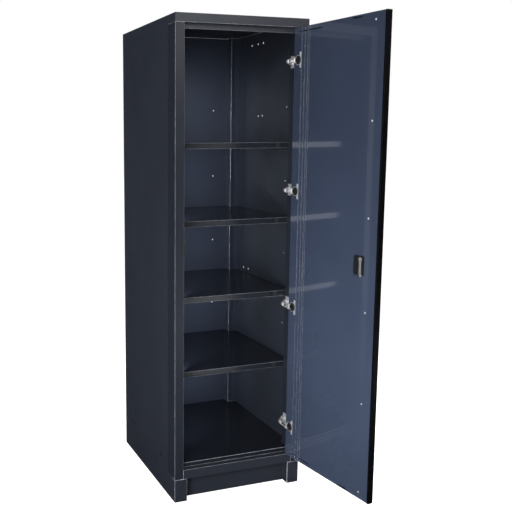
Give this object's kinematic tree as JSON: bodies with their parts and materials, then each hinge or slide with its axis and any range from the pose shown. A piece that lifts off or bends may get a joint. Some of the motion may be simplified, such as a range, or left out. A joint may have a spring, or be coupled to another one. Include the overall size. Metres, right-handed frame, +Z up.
{
  "type": "tool chest side locker",
  "caption": "Tall narrow sheet-steel side locker on a skirted base, with shelves, an inset right-hung door on cup hinges and a recessed cam lock.",
  "frame": {"origin": "on the floor, under the middle of the box round the locker with its door open as in the picture", "axes": "+X to the right seen from the front, +Y to the back, +Z up"},
  "size_m": [0.549, 1.055, 1.8],
  "materials": {
    "cabinet_paint": "gloss blue-black powder coat",
    "shelf_paint": "satin blue-black powder coat",
    "door_paint": "gloss slate-blue powder coat",
    "nickel": "bright nickel plate",
    "black_plastic": "fine-grained moulding",
    "black_trim": "smooth extrusion"
  },
  "bodies": {
    "cabinet": {"left_side_panel": "cabinet_paint", "right_side_panel": "cabinet_paint", "back_panel": "cabinet_paint", "top_panel": "cabinet_paint", "top_rail": "cabinet_paint", "left_front_post": "cabinet_paint", "right_front_post": "cabinet_paint", "sill_rail": "cabinet_paint", "floor_deck": "shelf_paint", "upper_door_stop": "cabinet_paint", "lock_strike": "cabinet_paint", "left_rear_upright": "cabinet_paint", "right_rear_upright": "cabinet_paint", "left_skirt": "cabinet_paint", "right_skirt": "cabinet_paint", "rear_skirt": "cabinet_paint", "kick_plate": "cabinet_paint", "left_front_foot": "cabinet_paint", "right_front_foot": "cabinet_paint", "shelf_1": "shelf_paint", "shelf_rail_left_1": "shelf_paint", "shelf_rail_right_1": "shelf_paint", "shelf_2": "shelf_paint", "shelf_rail_left_2": "shelf_paint", "shelf_rail_right_2": "shelf_paint", "shelf_3": "shelf_paint", "shelf_rail_left_3": "shelf_paint", "shelf_rail_right_3": "shelf_paint", "shelf_4": "shelf_paint", "shelf_rail_left_4": "shelf_paint", "shelf_rail_right_4": "shelf_paint", "hinge_plate_1": "nickel", "hinge_arm_1": "nickel", "hinge_plate_2": "nickel", "hinge_arm_2": "nickel", "hinge_plate_3": "nickel", "hinge_arm_3": "nickel", "hinge_plate_4": "nickel", "hinge_arm_4": "nickel"},
    "door": {"door_skin": "cabinet_paint", "door_inner_panel": "door_paint", "door_hinge_stile": "door_paint", "door_edge_trim": "black_trim", "lock_housing": "black_plastic", "hinge_cup_1": "nickel", "hinge_pin_1": "nickel", "hinge_cup_2": "nickel", "hinge_pin_2": "nickel", "hinge_cup_3": "nickel", "hinge_pin_3": "nickel", "hinge_cup_4": "nickel", "hinge_pin_4": "nickel"},
    "lock": {"lock_plug": "nickel", "lock_cam": "nickel", "lock_cam_screw": "nickel"},
    "link_1": {"hinge_link_1": "nickel"},
    "link_2": {"hinge_link_2": "nickel"},
    "link_3": {"hinge_link_3": "nickel"},
    "link_4": {"hinge_link_4": "nickel"}
  },
  "joints": [
    {"name": "door_hinge", "type": "hinge", "parent": "cabinet", "child": "door", "pos_m": [0.21698, -0.07399, 0.9455], "axis": [0, 0, 1], "range_deg": [-97.5, 5]},
    {"name": "lock_turn", "type": "hinge", "parent": "door", "child": "lock", "pos_m": [0.25199, -0.45871, 0.966], "axis": [-0.9914, -0.1305, 0], "range_deg": [0, 90]},
    {"name": "link_turn_1", "type": "hinge", "parent": "door", "child": "link_1", "pos_m": [0.18639, -0.09063, 0.2495], "axis": [0, 0, 1], "range_deg": [-10, 190]},
    {"name": "link_turn_2", "type": "hinge", "parent": "door", "child": "link_2", "pos_m": [0.18639, -0.09063, 0.72762], "axis": [0, 0, 1], "range_deg": [-10, 190]},
    {"name": "link_turn_3", "type": "hinge", "parent": "door", "child": "link_3", "pos_m": [0.18639, -0.09063, 1.16938], "axis": [0, 0, 1], "range_deg": [-10, 190]},
    {"name": "link_turn_4", "type": "hinge", "parent": "door", "child": "link_4", "pos_m": [0.18639, -0.09063, 1.6475], "axis": [0, 0, 1], "range_deg": [-10, 190]}
  ],
  "couplings": [
    {"joint": "link_turn_1", "follows": "door_hinge", "ratio": -1.937},
    {"joint": "link_turn_2", "follows": "door_hinge", "ratio": -1.937},
    {"joint": "link_turn_3", "follows": "door_hinge", "ratio": -1.937},
    {"joint": "link_turn_4", "follows": "door_hinge", "ratio": -1.937}
  ]
}
